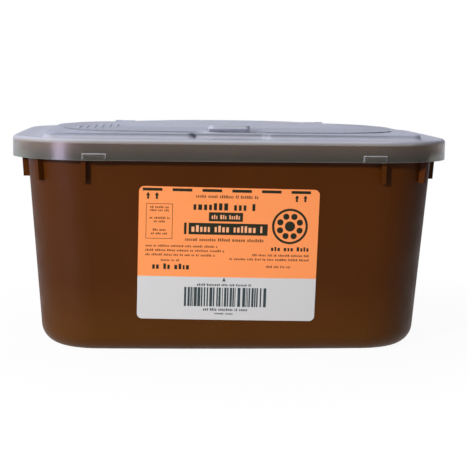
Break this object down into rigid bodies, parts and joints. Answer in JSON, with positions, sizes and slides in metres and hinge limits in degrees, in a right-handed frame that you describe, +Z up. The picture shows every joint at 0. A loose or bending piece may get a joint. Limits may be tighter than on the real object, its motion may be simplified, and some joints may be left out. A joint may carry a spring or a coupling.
{
  "type": "sharps container",
  "caption": "Tapered rectangular tub with a translucent snap-over lid, a hinged oval drop door with a thumb tab, and a front label.",
  "frame": {"origin": "on the table, under the middle of the container", "axes": "+X along the length, -Y the side with the label, +Z up"},
  "size_m": [0.254, 0.1906, 0.1303],
  "materials": {
    "tub_plastic": "semi-gloss moulded polypropylene, dark red-brown",
    "lid_plastic": "translucent milky moulded polypropylene",
    "label_stock": "coated label stock, orange over pale grey"
  },
  "bodies": {
    "base": {"tub": "tub_plastic", "front_label": "label_stock"},
    "lid": {"lid": "lid_plastic"},
    "door": {"access_door": "lid_plastic"}
  },
  "joints": [
    {"name": "lid_lift", "type": "slide", "parent": "base", "child": "lid", "axis": [0, 0, 1], "range_m": [0, 0.08]},
    {"name": "door_hinge", "type": "hinge", "parent": "lid", "child": "door", "pos_m": [0, 0.082, 0.1248], "axis": [-1, 0, 0], "range_deg": [0, 105]}
  ]
}
